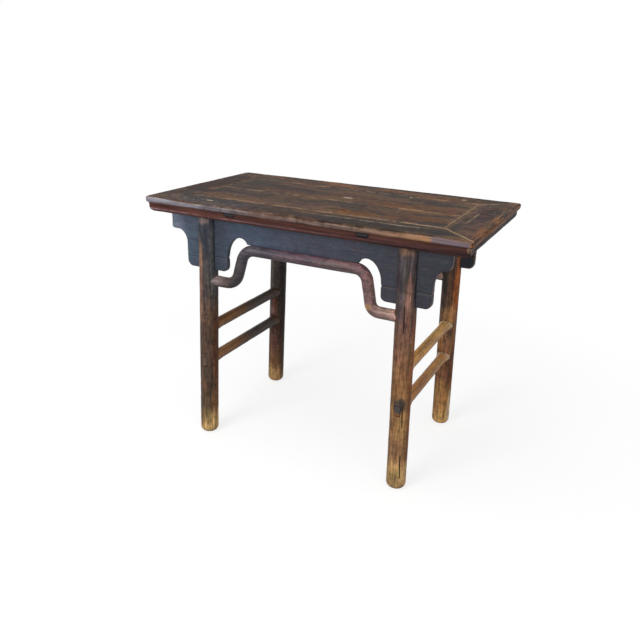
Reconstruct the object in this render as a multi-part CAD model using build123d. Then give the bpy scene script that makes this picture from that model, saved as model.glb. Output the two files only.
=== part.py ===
from build123d import *
import math
import os

# Chinese altar table of round-legged, recessed-leg form, in millimetres.
# X runs along the table, Y from front (-) to back (+), Z up; the origin is on the floor under the middle.
# Every piece is a separate solid that meets its neighbours face to face in a cut joint.

# ---- Overall ----
top_length = 1060.0
top_depth = 606.0
table_height = 825.0
top_thickness = 49.0

# ---- Mitred frame of the top ----
rail_width = 112.0
end_width = 112.0
corner_radius = 15.0
frame_tenon_length = 62.0
frame_tenon_width = 46.0
frame_tenon_thickness = 13.0
frame_tenon_inset = 16.0
frame_tenon_drop = 24.0

# Moulded edge, from the top down: rounded lip, shallow hollow, bead, each further in than the last
lip_height = 20.0
lip_top_radius = 8.0
lip_under_radius = 4.0
lip_lean = 2.5
hollow_height = 11.0
hollow_inset = 7.5
hollow_depth = 1.0
bead_inset = 10.5
bead_foot_inset = 18.0
bead_bulge = 3.0

# ---- Floating panel: two boards on two battens ----
panel_thickness = 18.0
tongue_length = 8.0
tongue_thickness = 8.0
board_joint_y = -12.0
batten_inset = 201.0
batten_width = 38.0
batten_height = 22.0
dovetail_depth = 6.0
dovetail_neck = 28.0
dovetail_spread = 4.0
batten_tenon_height = 11.0
batten_tenon_shoulder = 3.0

# ---- Legs ----
leg_diameter = 62.0
leg_inset_x = 194.5
leg_inset_y = 74.5
leg_splay_x = 17.5
leg_splay_y = 5.0
foot_edge_radius = 18.0
leg_tenon_width = 30.0
leg_tenon_thickness = 10.0
leg_tenon_height = 22.0
leg_tenon_set = 4.0

# ---- Apron boards with their spandrels ----
apron_thickness = 18.0
apron_height = 76.0
ear_height = 59.0
ear_reach = 134.0
ear_corner_radius = 9.0
cove_width = 34.0
cove_height = 46.0
lobe_height = 177.0
lobe_outer_reach = 76.0
lobe_inner_reach = 79.0
lobe_outer_radius = 20.0
lobe_inner_radius = 18.0
lobe_shoulder_height = 131.0
arch_width = 48.0
arch_head = 17.0
arch_end_radius = 26.0
tip_height = 46.0

# ---- Humpback stretchers ----
hump_diameter = 36.0
hump_drop = 121.0
hump_corner_reach = 106.0
hump_lean_left = 34.0
hump_lean_right = 24.0
hump_upper_radius_left = 48.0
hump_upper_radius_right = 40.0
hump_lower_radius_left = 46.0
hump_lower_radius_right = 28.0
hump_shoulder_width = 46.0
hump_flare_length = 24.0
hump_tenon_length = 22.0
hump_tenon_width = 12.0
hump_tenon_height = 24.0

# ---- Side stretchers, two to each end ----
upper_stretcher_z = 391.0
lower_stretcher_z = 273.0
stretcher_width = 33.0
stretcher_height = 38.0
stretcher_shoulder_width = 50.0
stretcher_flare_length = 36.0
upper_tenon_length = 26.0
stretcher_tenon_width = 14.0
stretcher_tenon_height = 28.0
through_tenon_width = 20.0
through_tenon_height = 34.0

# ---- Fits ----
mortise_clearance = 0.2
mortise_end_clearance = 1.0
groove_clearance = 0.3

# ---- Derived places ----
underside_z = table_height - top_thickness
leg_radius = leg_diameter / 2
half_length = top_length / 2
half_depth = top_depth / 2
opening_x = half_length - end_width
opening_y = half_depth - rail_width
batten_x = opening_x - batten_inset
leg_foot_x = half_length - leg_inset_x + leg_splay_x
leg_foot_y = half_depth - leg_inset_y + leg_splay_y
panel_bottom_z = table_height - panel_thickness
apron_bottom_z = underside_z - apron_height
ear_bottom_z = underside_z - ear_height
lobe_bottom_z = underside_z - lobe_height
seam_z = lobe_bottom_z + tip_height
arch_top_z = apron_bottom_z + arch_head
hump_bar_z = apron_bottom_z - hump_diameter / 2
hump_foot_z = hump_bar_z - hump_drop


def leg_x(z):
    """Distance of the leg's axis from the YZ plane at height z."""
    return leg_foot_x - leg_splay_x * z / underside_z


def leg_y(z):
    """Distance of the leg's axis from the XZ plane at height z."""
    return leg_foot_y - leg_splay_y * z / underside_z


slot_mid_z = (lobe_bottom_z + underside_z) / 2
apron_y = leg_y(slot_mid_z)
lobe_x = leg_x(lobe_bottom_z)
hump_y = leg_y(hump_foot_z)


def block(x0, x1, y0, y1, z0, z1):
    """Box between two opposite corners."""
    return Pos((x0 + x1) / 2, (y0 + y1) / 2, (z0 + z1) / 2) * Box(x1 - x0, y1 - y0, z1 - z0)


# ---- Top: moulded edge ----

def edge_section(half_span):
    """Upright section through the top, moulded at both ends, with local Y as height."""
    lip_z = table_height - lip_height
    bead_z = lip_z - hollow_height
    lip_round_z = table_height - lip_top_radius
    under_round_z = lip_z + lip_under_radius
    lip_end = (half_span - lip_lean, under_round_z)
    lip_foot = (half_span - lip_lean - lip_under_radius, lip_z)
    hollow_start = (half_span - hollow_inset, lip_z)
    bead_start = (half_span - bead_inset, bead_z)
    bead_end = (half_span - bead_foot_inset, underside_z)
    half = Curve() + [
        Line((0, table_height), (half_span - lip_top_radius, table_height)),
        RadiusArc((half_span - lip_top_radius, table_height), (half_span, lip_round_z), lip_top_radius),
        Line((half_span, lip_round_z), lip_end),
        RadiusArc(lip_end, lip_foot, lip_under_radius),
        Line(lip_foot, hollow_start),
        SagittaArc(hollow_start, bead_start, -hollow_depth),
        SagittaArc(bead_start, bead_end, bead_bulge),
        Line(bead_end, (0, underside_z)),
    ]
    return make_face(half + mirror(half, about=Plane.YZ))


def top_envelope():
    """Whole top as one block: the two moulded sections crossed, so their corners mitre by themselves."""
    along_x = extrude(Plane.YZ * edge_section(half_depth), amount=half_length, both=True)
    along_y = extrude(Plane.XZ * edge_section(half_length), amount=half_depth, both=True)
    plan = Pos(0, 0, underside_z) * RectangleRounded(top_length, top_depth, corner_radius)
    return along_x & along_y & extrude(plan, amount=top_thickness)


def frame_wedge(points):
    """Upright prism over one member of the frame, between its two mitre planes."""
    return extrude(Pos(0, 0, underside_z) * make_face(Polyline(*points, close=True)), amount=top_thickness)


def frame_tenon(side_x, side_y, clearance):
    """Tenon from a long rail into an end member, below the panel groove; grown by a clearance for its mortise."""
    inner_y = opening_y + frame_tenon_inset - clearance
    outer_y = opening_y + frame_tenon_inset + frame_tenon_width + clearance
    top_z = table_height - frame_tenon_drop + clearance
    bottom_z = table_height - frame_tenon_drop - frame_tenon_thickness - clearance
    reach = opening_x + frame_tenon_length + (mortise_end_clearance if clearance else 0)
    x0, x1 = sorted((side_x * opening_x, side_x * reach))
    y0, y1 = sorted((side_y * inner_y, side_y * outer_y))
    return block(x0, x1, y0, y1, bottom_z, top_z)


def panel_groove():
    """Space of the groove that runs round the inside of the frame."""
    depth = tongue_length + mortise_end_clearance
    reach_x = opening_x + depth
    reach_y = opening_y + depth
    top_z = panel_bottom_z + tongue_thickness + groove_clearance
    return block(-reach_x, reach_x, -reach_y, reach_y, panel_bottom_z, top_z)


# ---- Top: boards and battens ----

def dovetail_key(x, reach_y):
    """Long dovetailed key that stands up into the panel's underside."""
    top_z = panel_bottom_z + dovetail_depth
    neck = dovetail_neck / 2
    crown = neck + dovetail_spread
    section = make_face(Polyline(
        (x - neck, panel_bottom_z),
        (x + neck, panel_bottom_z),
        (x + crown, top_z),
        (x - crown, top_z),
        close=True,
    ))
    return extrude(Plane.XZ * section, amount=reach_y, both=True)


def panel_boards():
    """Both boards of the panel, flush with the frame, tongued all round and butted on one joint."""
    face = block(-opening_x, opening_x, -opening_y, opening_y, panel_bottom_z, table_height)
    reach_x = opening_x + tongue_length
    reach_y = opening_y + tongue_length
    tongue_top_z = panel_bottom_z + tongue_thickness
    panel = face + block(-reach_x, reach_x, -reach_y, reach_y, panel_bottom_z, tongue_top_z)
    for side in (-1, 1):
        panel -= dovetail_key(side * batten_x, reach_y)
    front = panel & block(-reach_x, reach_x, -reach_y, board_joint_y, panel_bottom_z, table_height)
    back = panel & block(-reach_x, reach_x, board_joint_y, reach_y, panel_bottom_z, table_height)
    return front, back


def batten_tenon(x, clearance):
    """Bar along both through tenons of a batten; grown by a clearance for the mortises."""
    half_width = batten_width / 2 + clearance
    top_z = panel_bottom_z - batten_tenon_shoulder
    return block(x - half_width, x + half_width, -half_depth, half_depth,
                 top_z - batten_tenon_height - clearance, top_z + clearance)


def batten(side, envelope):
    """Transverse batten: dovetailed into the boards, its tenons cut off along the moulded edge."""
    x = side * batten_x
    half_width = batten_width / 2
    body = block(x - half_width, x + half_width, -opening_y, opening_y,
                 panel_bottom_z - batten_height, panel_bottom_z)
    return body + dovetail_key(x, opening_y) + (batten_tenon(x, 0) & envelope)


# ---- Legs ----

def leg_blank():
    """Plain round leg of the front right corner, leaning in both ways, before its joints."""
    lean = Vector(-leg_splay_x, leg_splay_y, underside_z)
    foot = Pos(leg_foot_x, -leg_foot_y) * Circle(leg_radius)
    return extrude(foot, amount=lean.length, dir=lean)


def leg_tenons(clearance):
    """The two tenons on top of the front right leg, one on each cheek of its slot."""
    shape = Part()
    x = leg_x(underside_z)
    half_width = leg_tenon_width / 2 + clearance
    near = apron_thickness / 2 + leg_tenon_set
    height = leg_tenon_height + (mortise_end_clearance if clearance else 0)
    for cheek in (-1, 1):
        y = -apron_y + cheek * (near + leg_tenon_thickness / 2)
        half_thickness = leg_tenon_thickness / 2 + clearance
        shape += block(x - half_width, x + half_width, y - half_thickness, y + half_thickness,
                       underside_z, underside_z + height)
    return shape


def hump_tenon(clearance):
    """Tenon of the front humpback stretcher in the front right leg."""
    shoulder_x = leg_x(hump_foot_z) - leg_radius
    reach = hump_tenon_length + (mortise_end_clearance if clearance else 0)
    half_width = hump_tenon_width / 2 + clearance
    half_height = hump_tenon_height / 2 + clearance
    return block(shoulder_x - reach, shoulder_x + reach, -hump_y - half_width, -hump_y + half_width,
                 hump_foot_z - half_height, hump_foot_z + half_height)


def upper_side_tenon(clearance):
    """Stopped tenon of the upper side stretcher in the front right leg."""
    x = leg_x(upper_stretcher_z)
    shoulder_y = leg_radius - leg_y(upper_stretcher_z)
    reach = upper_tenon_length + (mortise_end_clearance if clearance else 0)
    half_width = stretcher_tenon_width / 2 + clearance
    half_height = stretcher_tenon_height / 2 + clearance
    return block(x - half_width, x + half_width, shoulder_y - reach, shoulder_y + reach,
                 upper_stretcher_z - half_height, upper_stretcher_z + half_height)


def lower_side_tenon(clearance):
    """Through tenon of the lower side stretcher, long enough to pass right through the front right leg."""
    x = leg_x(lower_stretcher_z)
    y = leg_y(lower_stretcher_z)
    half_width = through_tenon_width / 2 + clearance
    half_height = through_tenon_height / 2 + clearance
    return block(x - half_width, x + half_width, -y - leg_diameter, -y + leg_diameter,
                 lower_stretcher_z - half_height, lower_stretcher_z + half_height)


def leg():
    """Front right leg: rounded foot, long open slot for the apron, mortises, tenons on top."""
    shape = leg_blank()
    shape = fillet(shape.edges().sort_by(Axis.Z)[0], radius=foot_edge_radius)
    slot_reach = leg_diameter + leg_splay_x
    x = leg_x(lobe_bottom_z)
    shape -= block(x - slot_reach, x + slot_reach, -apron_y - apron_thickness / 2, -apron_y + apron_thickness / 2,
                   lobe_bottom_z, underside_z)
    shape -= hump_tenon(mortise_clearance)
    shape -= upper_side_tenon(mortise_clearance)
    shape -= lower_side_tenon(mortise_clearance)
    return shape + leg_tenons(0)


# ---- Aprons ----

def apron_outline():
    """Front view of an apron with both spandrels, drawn in XZ with local Y as height."""
    lobe_outer_x = lobe_x + lobe_outer_reach
    lobe_inner_x = lobe_x - lobe_inner_reach
    ear_x = lobe_x + ear_reach
    cove_x = lobe_outer_x + cove_width
    cove_z = ear_bottom_z - cove_height
    arch_x = lobe_inner_x - arch_width
    shoulder_z = underside_z - lobe_shoulder_height
    outer_corner_z = lobe_bottom_z + lobe_outer_radius
    inner_corner_z = lobe_bottom_z + lobe_inner_radius
    arch_end_rise = arch_end_radius - arch_head
    arch_end_x = arch_x - math.sqrt(arch_end_radius**2 - arch_end_rise**2)
    half = Curve() + [
        Line((0, underside_z), (ear_x, underside_z)),
        Line((ear_x, underside_z), (ear_x, ear_bottom_z + ear_corner_radius)),
        RadiusArc((ear_x, ear_bottom_z + ear_corner_radius),
                  (ear_x - ear_corner_radius, ear_bottom_z), ear_corner_radius),
        Line((ear_x - ear_corner_radius, ear_bottom_z), (cove_x, ear_bottom_z)),
        EllipticalCenterArc((cove_x, cove_z), cove_width, cove_height, 90, arc_size=90),
        Line((lobe_outer_x, cove_z), (lobe_outer_x, outer_corner_z)),
        RadiusArc((lobe_outer_x, outer_corner_z),
                  (lobe_outer_x - lobe_outer_radius, lobe_bottom_z), lobe_outer_radius),
        Line((lobe_outer_x - lobe_outer_radius, lobe_bottom_z),
             (lobe_inner_x + lobe_inner_radius, lobe_bottom_z)),
        RadiusArc((lobe_inner_x + lobe_inner_radius, lobe_bottom_z),
                  (lobe_inner_x, inner_corner_z), lobe_inner_radius),
        Line((lobe_inner_x, inner_corner_z), (lobe_inner_x, shoulder_z)),
        EllipticalCenterArc((arch_x, shoulder_z), arch_width, arch_top_z - shoulder_z, 0, arc_size=90),
        RadiusArc((arch_x, arch_top_z), (arch_end_x, apron_bottom_z), -arch_end_radius),
        Line((arch_end_x, apron_bottom_z), (0, apron_bottom_z)),
    ]
    return make_face(half + mirror(half, about=Plane.YZ))


def apron_and_tips():
    """Front apron board down to the glue seam, and the right and left spandrel tips below it."""
    board = Pos(0, -apron_y, 0) * extrude(Plane.XZ * apron_outline(), amount=apron_thickness / 2, both=True)
    above = block(-half_length, half_length, -half_depth, 0, seam_z, underside_z)
    right = block(0, half_length, -half_depth, 0, lobe_bottom_z, seam_z)
    left = mirror(right, about=Plane.YZ)
    return board & above, board & right, board & left


# ---- Stretchers ----

def flare(start, end, width, height, shoulder_width):
    """Stretcher end that widens from its own section towards the axis of the leg it wraps round."""
    axis = (end - start).normalized()
    beak = math.sqrt(leg_radius**2 - (shoulder_width / 2)**2)
    spread = (shoulder_width - width) * (end - start).length / ((end - start).length - beak)
    sections = [
        Plane(origin=start, x_dir=Vector(0, 0, 1), z_dir=axis) * Ellipse(height / 2, width / 2),
        Plane(origin=end, x_dir=Vector(0, 0, 1), z_dir=axis) * Ellipse(height / 2, (width + spread) / 2),
    ]
    return loft(sections, ruled=True)


def humpback_stretcher(leg_right, leg_left):
    """Front humpback stretcher: low at both legs, stepped up to touch the apron, coped over the legs."""
    foot_x = leg_x(hump_foot_z)
    flare_x = foot_x - leg_radius - hump_flare_length
    low_corner_x = foot_x - hump_corner_reach
    path = FilletPolyline(
        (-flare_x, -hump_y, hump_foot_z),
        (-low_corner_x, -hump_y, hump_foot_z),
        (hump_lean_left - low_corner_x, -hump_y, hump_bar_z),
        (low_corner_x - hump_lean_right, -hump_y, hump_bar_z),
        (low_corner_x, -hump_y, hump_foot_z),
        (flare_x, -hump_y, hump_foot_z),
        radius=[hump_lower_radius_left, hump_upper_radius_left,
                hump_upper_radius_right, hump_lower_radius_right],
    )
    section = Plane(origin=path @ 0, z_dir=path % 0) * Circle(hump_diameter / 2)
    shape = sweep(section, path=path)
    flare_start = Vector(flare_x, -hump_y, hump_foot_z)
    flare_end = Vector(foot_x, -hump_y, hump_foot_z)
    shoulder = flare(flare_start, flare_end, hump_diameter, hump_diameter, hump_shoulder_width)
    shape += shoulder
    shape += mirror(shoulder, about=Plane.YZ)
    shape -= leg_right
    shape -= leg_left
    tenon = hump_tenon(0)
    return shape + tenon + mirror(tenon, about=Plane.YZ)


def side_stretcher(z, leg_front, leg_back, tenon):
    """Right side stretcher at height z between two legs, coped over both, with one tenon at each end."""
    x = leg_x(z)
    y = leg_y(z)
    flare_y = y - leg_radius - stretcher_flare_length
    section = Pos(x, 0, z) * (Plane.XZ * Ellipse(stretcher_width / 2, stretcher_height / 2))
    shape = extrude(section, amount=flare_y, both=True)
    flare_start = Vector(x, -flare_y, z)
    flare_end = Vector(x, -y, z)
    shoulder = flare(flare_start, flare_end, stretcher_width, stretcher_height, stretcher_shoulder_width)
    shape += shoulder
    shape += mirror(shoulder, about=Plane.XZ)
    shape -= leg_front
    shape -= leg_back
    return shape + tenon + mirror(tenon, about=Plane.XZ)


# ---- Build every piece ----

nodes = {}
envelope = top_envelope()
groove = panel_groove()
outer = (half_length, half_depth)
inner = (opening_x, opening_y)

right_blank = leg_blank()
left_blank = mirror(right_blank, about=Plane.YZ)
back_blank = mirror(right_blank, about=Plane.XZ)

leg_mortises = leg_tenons(mortise_clearance)
leg_mortises += mirror(leg_mortises, about=Plane.YZ)

for name, side in (("front", -1), ("back", 1)):
    wedge = frame_wedge([
        (-outer[0], side * outer[1]),
        (outer[0], side * outer[1]),
        (inner[0], side * inner[1]),
        (-inner[0], side * inner[1]),
    ])
    rail = (envelope & wedge) - groove
    for batten_side in (-1, 1):
        rail -= batten_tenon(batten_side * batten_x, mortise_clearance)
    rail -= leg_mortises if side < 0 else mirror(leg_mortises, about=Plane.XZ)
    for end_side in (-1, 1):
        rail += frame_tenon(end_side, side, 0)
    nodes["top_rail_" + name] = rail

for name, side in (("left", -1), ("right", 1)):
    wedge = frame_wedge([
        (side * outer[0], -outer[1]),
        (side * outer[0], outer[1]),
        (side * inner[0], inner[1]),
        (side * inner[0], -inner[1]),
    ])
    member = (envelope & wedge) - groove
    for rail_side in (-1, 1):
        member -= frame_tenon(side, rail_side, mortise_clearance)
    nodes["top_end_" + name] = member
    nodes["batten_" + name] = batten(side, envelope)

nodes["panel_board_front"], nodes["panel_board_back"] = panel_boards()

front_leg = leg()
apron, tip_right, tip_left = apron_and_tips()
hump = humpback_stretcher(right_blank, left_blank)

nodes["leg_front_right"] = front_leg
nodes["apron_front"] = apron
nodes["spandrel_tip_front_right"] = tip_right
nodes["spandrel_tip_front_left"] = tip_left
nodes["humpback_stretcher_front"] = hump
nodes["leg_back_right"] = mirror(front_leg, about=Plane.XZ)
nodes["leg_front_left"] = mirror(front_leg, about=Plane.YZ)
nodes["leg_back_left"] = Rot(0, 0, 180) * front_leg
nodes["apron_back"] = mirror(apron, about=Plane.XZ)
nodes["spandrel_tip_back_right"] = mirror(tip_right, about=Plane.XZ)
nodes["spandrel_tip_back_left"] = mirror(tip_left, about=Plane.XZ)
nodes["humpback_stretcher_back"] = mirror(hump, about=Plane.XZ)

side_pieces = (
    ("upper", upper_stretcher_z, upper_side_tenon(0)),
    ("lower", lower_stretcher_z, lower_side_tenon(0) & right_blank),
)
for level, z, tenon in side_pieces:
    stretcher = side_stretcher(z, right_blank, back_blank, tenon)
    nodes["side_stretcher_right_" + level] = stretcher
    nodes["side_stretcher_left_" + level] = mirror(stretcher, about=Plane.YZ)

os.makedirs("parts", exist_ok=True)
for name, shape in nodes.items():
    shape.label = name
    export_step(shape, f"parts/{name}.step")
    print(name, len(shape.solids()), round(shape.volume / 1000, 1), "cm3")
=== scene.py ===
import math

import bpy
from mathutils import Matrix, Vector


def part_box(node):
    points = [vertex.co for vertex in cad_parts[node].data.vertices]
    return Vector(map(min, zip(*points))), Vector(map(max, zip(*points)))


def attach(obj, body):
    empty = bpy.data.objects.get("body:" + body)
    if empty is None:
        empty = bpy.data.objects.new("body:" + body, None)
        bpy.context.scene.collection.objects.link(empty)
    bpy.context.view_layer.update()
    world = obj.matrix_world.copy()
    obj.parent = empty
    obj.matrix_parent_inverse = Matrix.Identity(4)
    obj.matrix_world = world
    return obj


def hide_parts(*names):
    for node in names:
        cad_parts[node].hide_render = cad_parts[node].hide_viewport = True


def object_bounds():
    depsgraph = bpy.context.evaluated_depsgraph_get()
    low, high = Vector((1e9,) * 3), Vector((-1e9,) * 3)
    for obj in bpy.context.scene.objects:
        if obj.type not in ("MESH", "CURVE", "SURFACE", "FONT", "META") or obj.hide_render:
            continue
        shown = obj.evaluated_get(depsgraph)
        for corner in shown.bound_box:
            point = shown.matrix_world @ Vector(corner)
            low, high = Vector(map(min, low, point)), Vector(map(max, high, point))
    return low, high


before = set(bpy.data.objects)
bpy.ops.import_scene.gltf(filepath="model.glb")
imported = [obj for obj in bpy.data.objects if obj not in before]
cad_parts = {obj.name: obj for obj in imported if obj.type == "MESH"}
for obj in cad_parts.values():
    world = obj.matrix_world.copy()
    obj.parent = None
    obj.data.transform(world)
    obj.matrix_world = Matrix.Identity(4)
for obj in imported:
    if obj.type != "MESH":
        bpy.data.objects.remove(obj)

cadBox = [list(map(float, corner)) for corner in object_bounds()]
print("table frame loaded,", len(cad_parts), "nodes")


# the view the table is shown from, in metres, degrees, pixels and millimetres of sensor
shot = {
    "place": (0.9109, -1.9593, 1.2414),
    "yaw": 25.977,
    "pitch": 21.088,
    "roll": 1.856,
    "focalPixels": 674.61,
    "imagePixels": 640,
    "sensorWidth": 36,
}


def cameraTurn(yaw, pitch, roll):
    back = Vector((math.sin(yaw) * math.cos(pitch), -math.cos(yaw) * math.cos(pitch), math.sin(pitch)))
    right = Vector((0, 0, 1)).cross(back).normalized()
    up = back.cross(right)
    rightRolled = math.cos(roll) * right + math.sin(roll) * up
    upRolled = -math.sin(roll) * right + math.cos(roll) * up
    return Matrix((rightRolled, upRolled, back)).transposed()


def makeCamera():
    data = bpy.data.cameras.new("shotCamera")
    data.sensor_width = shot["sensorWidth"]
    data.lens = shot["focalPixels"] / shot["imagePixels"] * data.sensor_width
    camera = bpy.data.objects.new("shotCamera", data)
    bpy.context.collection.objects.link(camera)
    turn = cameraTurn(*(math.radians(shot[key]) for key in ("yaw", "pitch", "roll")))
    camera.matrix_world = Matrix.Translation(shot["place"]) @ turn.to_4x4()
    bpy.context.scene.camera = camera


# how far apart the noise of two neighbouring seeds is taken
seedSteps = (7.31, 3.17, 5.73)


class Wire:
    # a node socket that Python arithmetic works on: each sum adds its own node
    def __init__(self, tree, socket=None):
        self.tree = tree
        self.socket = socket

    def node(self, kind, settings=None, values=None, out=0):
        made = self.tree.nodes.new(kind)
        for name, value in (settings or {}).items():
            setattr(made, name, value)
        for key, value in (values or {}).items():
            if isinstance(value, Wire):
                self.tree.links.new(value.socket, made.inputs[key])
            else:
                made.inputs[key].default_value = value
        return Wire(self.tree, made.outputs[out] if made.outputs else None)

    def maths(self, operation, first, second):
        return self.node("ShaderNodeMath", {"operation": operation}, {0: first, 1: second})

    def __add__(self, other):
        return self.maths("ADD", self, other)

    def __radd__(self, other):
        return self.maths("ADD", other, self)

    def __sub__(self, other):
        return self.maths("SUBTRACT", self, other)

    def __rsub__(self, other):
        return self.maths("SUBTRACT", other, self)

    def __mul__(self, other):
        return self.maths("MULTIPLY", self, other)

    def __rmul__(self, other):
        return self.maths("MULTIPLY", other, self)

    def __abs__(self):
        return self.maths("ABSOLUTE", self, 0)

    def least(self, other):
        return self.maths("MINIMUM", self, other)

    def most(self, other):
        return self.maths("MAXIMUM", self, other)

    def other(self, name):
        return Wire(self.tree, self.socket.node.outputs[name])

    def axis(self, letter):
        # one coordinate of a place or a direction
        return self.node("ShaderNodeSeparateXYZ", {}, {0: self}, letter)

    def vector(self, operation, *inputs, out=0):
        return self.node("ShaderNodeVectorMath", {"operation": operation}, dict(enumerate(inputs)), out)

    def rise(self, low, high):
        # 0 at low, 1 at high and smooth between; with low above high it falls instead
        limits = {"Value": self, "From Min": low, "From Max": high}
        return self.node("ShaderNodeMapRange", {"interpolation_type": "SMOOTHSTEP"}, limits)

    def line(self, centre, half, soft):
        # 1 within half of the centre, fading to 0 over the soft width
        return abs(self - centre).rise(half + soft, half)

    def cloud(self, stretch, seed, detail, roughness):
        # noise with its own count of lumps in a metre along each axis
        shift = [seed * step for step in seedSteps]
        moved = self.vector("MULTIPLY_ADD", self, stretch, shift)
        return self.node("ShaderNodeTexNoise", {}, {
            "Vector": moved, "Scale": 1, "Detail": detail, "Roughness": roughness})

    def over(self, top, under):
        # this mask lays one colour over another
        return self.node("ShaderNodeMix", {"data_type": "RGBA"}, {0: self, 6: under, 7: top}, out=2)

    def dim(self, colour):
        # this number makes a colour lighter or darker, or a direction longer or shorter
        return self.node("ShaderNodeVectorMath", {"operation": "SCALE"}, {0: colour, 3: self})

    def mark(self, name):
        # a number that the mesh carries at each point
        return self.node("ShaderNodeAttribute", {"attribute_name": name}, out="Fac")


def paint(red, green, blue):
    # a finish in screen levels of 0 to 255, turned into the linear colour a socket holds
    parts = [level / 255 for level in (red, green, blue)]
    linear = [part / 12.92 if part <= 0.04045 else ((part + 0.055) / 1.055) ** 2.4 for part in parts]
    return (*linear, 1)


def emptyTree(owner):
    # the cleared node tree of a material or the world, as a wire that adds nodes to it
    owner.use_nodes = True
    owner.node_tree.nodes.clear()
    return Wire(owner.node_tree)


def startFinish(name):
    material = bpy.data.materials.new(name)
    return material, emptyTree(material).node("ShaderNodeTexCoord", out="Object")


def closeFinish(spot, look, wood):
    byWear, byStreak, everywhere = look["rough"]
    bump = spot.node("ShaderNodeBump", {}, {
        "Strength": 1, "Distance": look["relief"], "Height": wood["height"]})
    shader = spot.node("ShaderNodeBsdfPrincipled", {}, {
        "Base Color": wood["colour"],
        "Roughness": wood["bare"] * byWear + wood["streak"] * byStreak + everywhere,
        "Normal": bump,
        "Specular IOR Level": look["gloss"]})
    spot.node("ShaderNodeOutputMaterial", {}, {"Surface": shader})


def alongGrain(axis, few, many):
    return tuple(few if letter == axis else many for letter in "xyz")


def evenly(count):
    return (count, count, count)


# how soft ovals fade, in shares of their half sizes, and how far noise moves a ragged one's rim
ovals = {
    "outside": 1.35,
    "inside": 0.45,
    "raggedInside": 0.60,
    "raggedness": 1.8,
}


def ovalDistance(spot, centre, half):
    # 0 at the centre of an oval and 1 on its rim
    moved = spot.vector("SUBTRACT", spot, centre)
    scaled = spot.vector("MULTIPLY", moved, [1 / size for size in half])
    return spot.vector("LENGTH", scaled, out=1)


def patches(spot, places):
    # the sum of soft ovals, each with a centre, its half sizes and a strength
    total = 0
    for centre, half, amount in places:
        far = ovalDistance(spot, centre, half)
        total = far.rise(ovals["outside"], ovals["inside"]) * amount + total
    return total


def blend(spot, tone, places, broken):
    # ragged ovals of other tones laid over a base tone
    for centre, half, colour, amount in places:
        far = ovalDistance(spot, centre, half) + (broken - 0.5) * ovals["raggedness"]
        tone = (far.rise(ovals["outside"], ovals["raggedInside"]) * amount).over(colour, tone)
    return tone


def climb(value, stops):
    # a tone that changes smoothly from one level to the next
    tone = stops[0][1]
    for (low, _), (high, after) in zip(stops, stops[1:]):
        tone = value.rise(low, high).over(after, tone)
    return tone


# lumps of noise in a metre: along the grain for bands, hairs and hue, every way for the last three
woodNoise = {
    "bands": 4,
    "hairs": 22,
    "hue": 10,
    "hueAcross": 24,
    "mottle": 24,
    "grime": 60,
    "specks": 150,
}


def agedWood(spot, grain, seed, look, tone):
    # an old rubbed finish round a mean tone: bands, streaks and hairs along the grain, mottling, grime
    count, across, contrast = woodNoise, look["bands"], look["contrast"]
    bands = spot.cloud(alongGrain(grain, count["bands"], across), seed, 5, 0.62)
    streak = spot.cloud(alongGrain(grain, look["along"], across * look["fine"]), seed + 0.2, 6, 0.68)
    hair = spot.cloud(alongGrain(grain, count["hairs"], across * 4), seed + 0.4, 4, 0.62)
    hue = spot.cloud(alongGrain(grain, count["hue"], count["hueAcross"]), seed + 0.5, 3, 0.6)
    mottle = spot.cloud(evenly(count["mottle"]), seed + 0.6, 7, 0.72)
    grime = spot.cloud(evenly(count["grime"]), seed + 0.7, 6, 0.7)
    specks = spot.cloud(evenly(count["specks"]), seed + 0.8, 3, 0.6)

    # how far the finish is rubbed away, from 0 to 1
    broad, lined, spotted, fine = look["weights"]
    loss = (bands - 0.5) * broad + (streak - 0.5) * lined
    loss = loss + (mottle - 0.5) * spotted + (hair - 0.5) * fine
    bare = loss.rise(-look["spread"], look["spread"])

    tinted = spot.vector("MULTIPLY", tone, bare.over(look["warm"], look["cool"]))
    tinted = spot.vector("MULTIPLY", tinted, hue.rise(0.38, 0.62).over(look["rose"], look["moss"]))
    light = bare * contrast + (1 - contrast * 0.5)
    light = light * (grime.rise(0.34, 0.62) * look["grime"] + (1 - look["grime"] * 0.7))
    colour = light.dim(tinted)
    nicks = specks.rise(0.60, 0.70) * mottle.rise(0.46, 0.60) * look["nicks"]
    colour = nicks.over(look["nick"], colour)
    colour = (specks.rise(0.38, 0.28) * look["pits"]).over(look["pit"], colour)
    height = streak * 0.8 + hair * 0.5 + mottle * 0.5 + bare * 0.2 - specks.rise(0.36, 0.27) * 0.5
    return {"colour": colour, "height": height, "bare": bare, "mottle": mottle, "streak": streak}


# the top: frame, panel, moulded edge and the marks of use
railLow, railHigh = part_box("top_rail_front")
halfLength, halfDepth, face = cadBox[1]
topPlan = {
    "rail": railHigh.y - railLow.y,
    "boardJoint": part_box("panel_board_back")[0].y,
    "underside": railLow.z,
    "bandTop": face - 0.002,
    "lipFoot": face - 0.020,
    "beadTop": face - 0.031,
    "crest": face - 0.039,
    "lipInset": (0.0085, 0.0040),
    "frontLip": (0.023 - halfDepth, 0.013 - halfDepth),
}

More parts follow.
